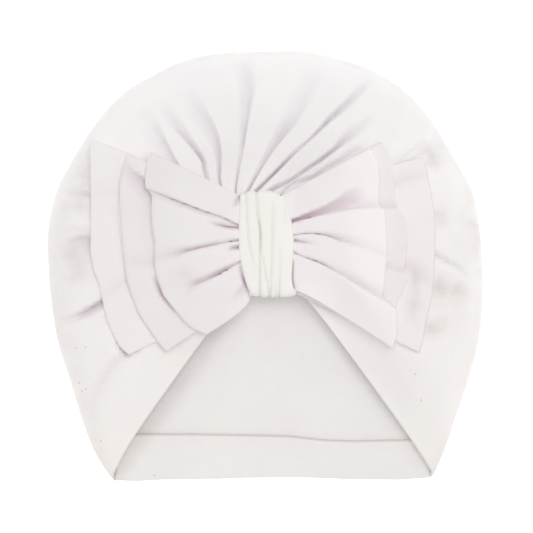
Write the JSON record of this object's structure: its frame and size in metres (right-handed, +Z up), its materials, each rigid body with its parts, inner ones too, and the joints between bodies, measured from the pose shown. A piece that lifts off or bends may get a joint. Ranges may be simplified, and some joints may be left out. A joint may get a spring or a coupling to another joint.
{
  "type": "infant bow headwrap",
  "caption": "Infant's jersey turban cap lying flat, gathered to a pleated knot under a layered bow, with an open V-shaped front and a turned hem.",
  "frame": {"origin": "on the resting surface, under the middle of the object's bounding box", "axes": "the cap lies on its back: +Z up and out of its front, +Y to the top of the cap, +X to the right of the picture, the wearer's left"},
  "size_m": [0.2013, 0.1972, 0.0378],
  "materials": {
    "crown_jersey": "matt cotton jersey, white with a faint lilac cast",
    "bow_jersey": "matt cotton jersey, pale lilac white",
    "band_jersey": "matt jersey, warm white"
  },
  "bodies": {
    "root": {"crown": "crown_jersey", "bow_back_layer": "bow_jersey", "bow_middle_layer": "bow_jersey", "bow_front_layer": "bow_jersey", "knot_band": "band_jersey"}
  },
  "joints": []
}
